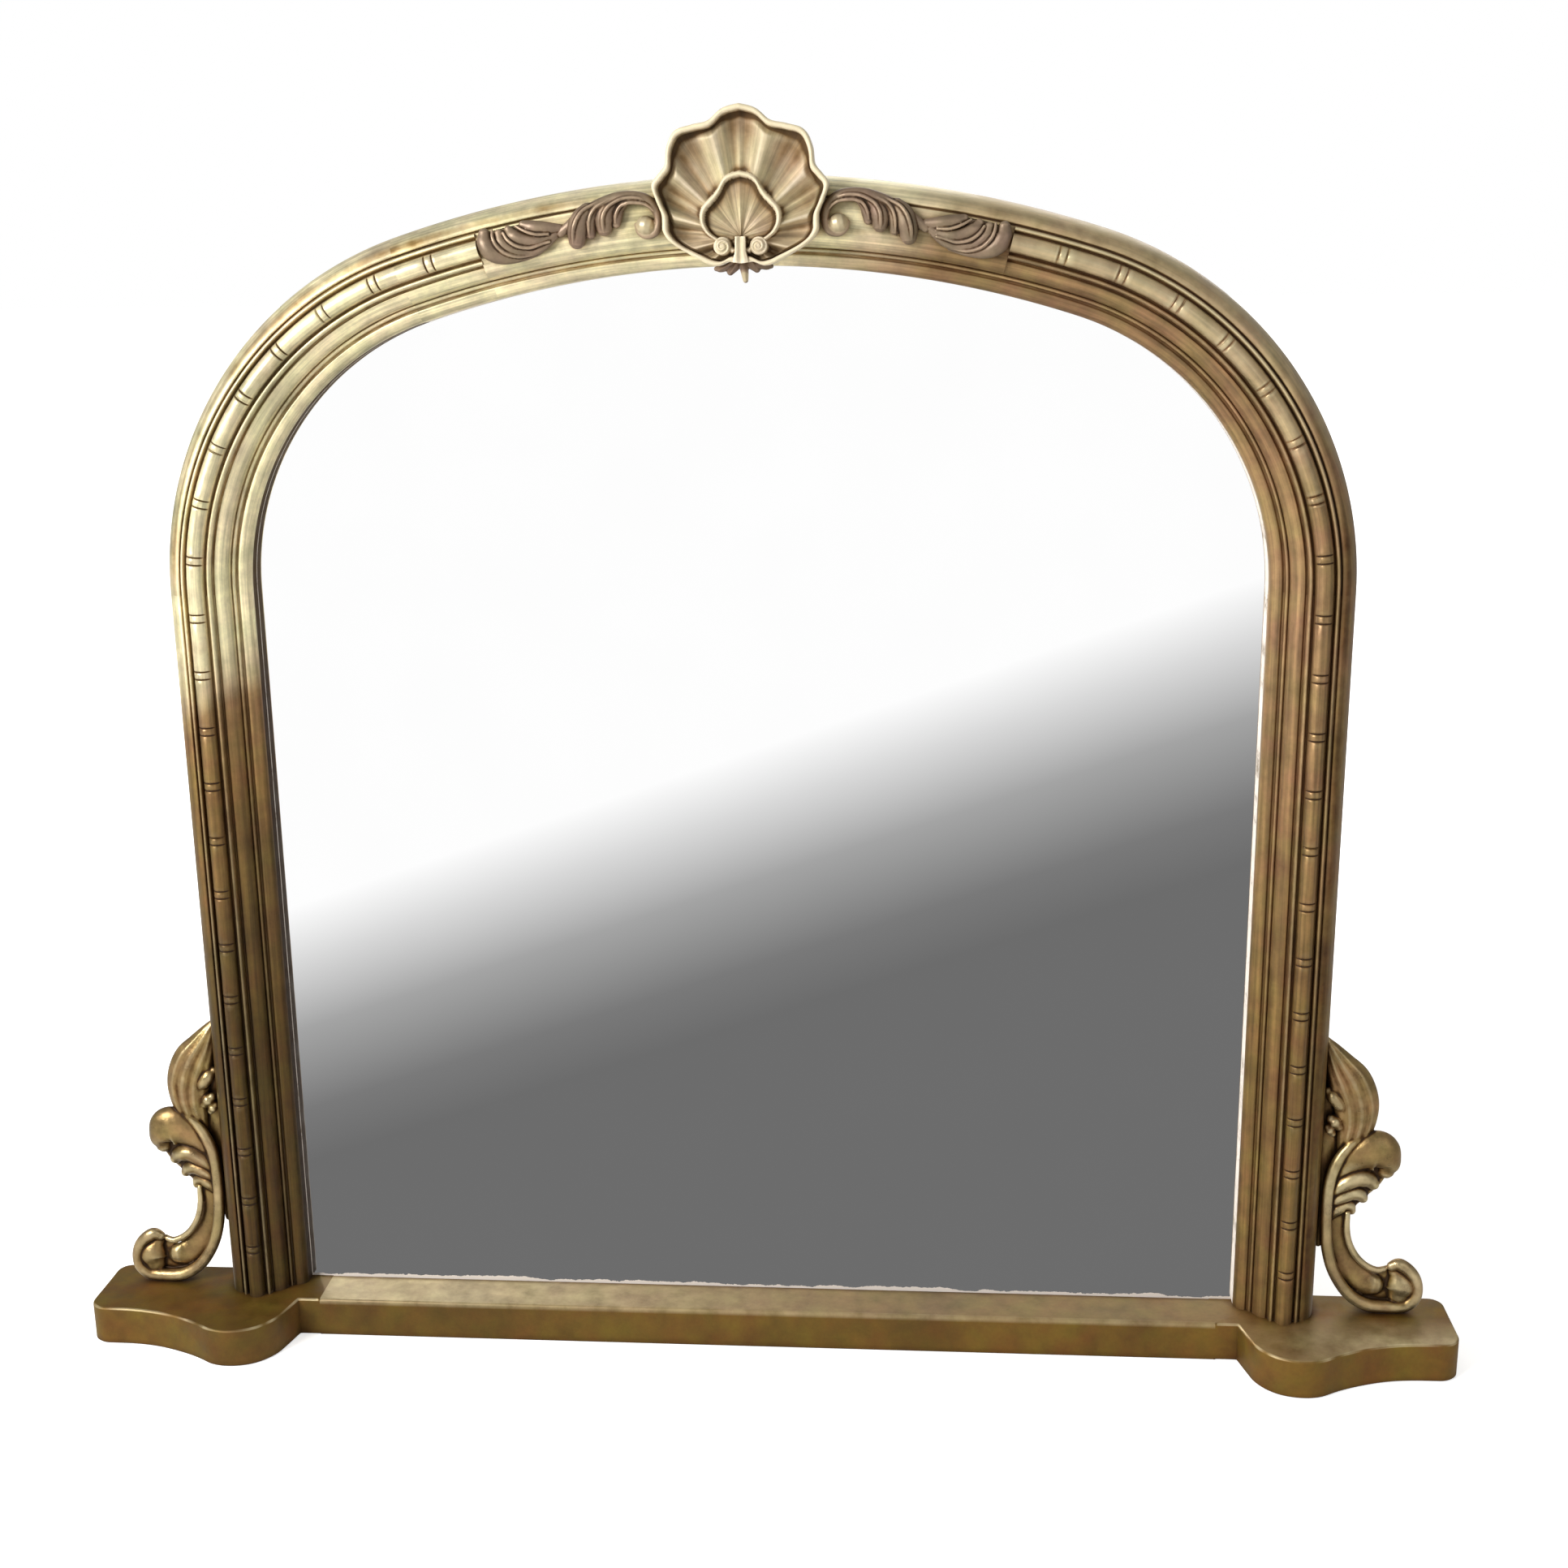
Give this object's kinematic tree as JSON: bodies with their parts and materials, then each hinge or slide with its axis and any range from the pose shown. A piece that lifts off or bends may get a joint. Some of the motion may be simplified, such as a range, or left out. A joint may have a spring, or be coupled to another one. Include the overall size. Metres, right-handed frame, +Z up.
{
  "type": "overmantel mirror",
  "caption": "Arched overmantel mirror in a moulded gilt frame with a shell crest, leaf sprays, side scrolls and a shaped plinth; two hanging rings behind.",
  "frame": {"origin": "middle of the plinth rail's underside, halfway between its front and back faces", "axes": "+Z up, front of the mirror faces -Y, +X to the right as seen from the front"},
  "size_m": [1.515, 0.1511, 1.318],
  "materials": {
    "gilt_moulding": "antique gold paint over gesso and wood, dark umber in the grooves",
    "gilt_plinth": "antique gold-brown paint over wood, rubbed at the edges",
    "gilt_carving": "antique gold paint over carved composition, umber in the hollows",
    "bronzed_carving": "bronzed gold paint over carved composition",
    "silvered_glass": "silvered plate glass",
    "bare_wood": "bare softwood",
    "steel_fixings": "bright zinc plate"
  },
  "bodies": {
    "frame": {"plinth_rail": "gilt_plinth", "left_foot_block": "gilt_plinth", "right_foot_block": "gilt_plinth", "left_upright": "gilt_moulding", "right_upright": "gilt_moulding", "left_shoulder": "gilt_moulding", "right_shoulder": "gilt_moulding", "crown_arch": "gilt_moulding", "shell_cartouche": "gilt_carving", "shell_pendant": "bronzed_carving", "left_spray": "bronzed_carving", "right_spray": "bronzed_carving", "left_side_scroll": "gilt_carving", "right_side_scroll": "gilt_carving", "mirror_glass": "silvered_glass", "setting_blocks": "bare_wood", "packing_blocks": "bare_wood", "back_board_left": "bare_wood", "back_board_middle": "bare_wood", "back_board_right": "bare_wood", "back_board_pins": "steel_fixings", "arch_dowels": "bare_wood", "rail_dowels": "bare_wood", "upright_screws": "steel_fixings", "left_hanger_strap": "steel_fixings", "right_hanger_strap": "steel_fixings", "hanger_screws": "steel_fixings"},
    "left_ring": {"left_hanger_ring": "steel_fixings"},
    "right_ring": {"right_hanger_ring": "steel_fixings"}
  },
  "joints": [
    {"name": "left_ring_swing", "type": "hinge", "parent": "frame", "child": "left_ring", "pos_m": [-0.58, 0.039, 0.78], "axis": [1, 0, 0], "range_deg": [0, 180]},
    {"name": "right_ring_swing", "type": "hinge", "parent": "frame", "child": "right_ring", "pos_m": [0.58, 0.039, 0.78], "axis": [1, 0, 0], "range_deg": [0, 180]}
  ]
}
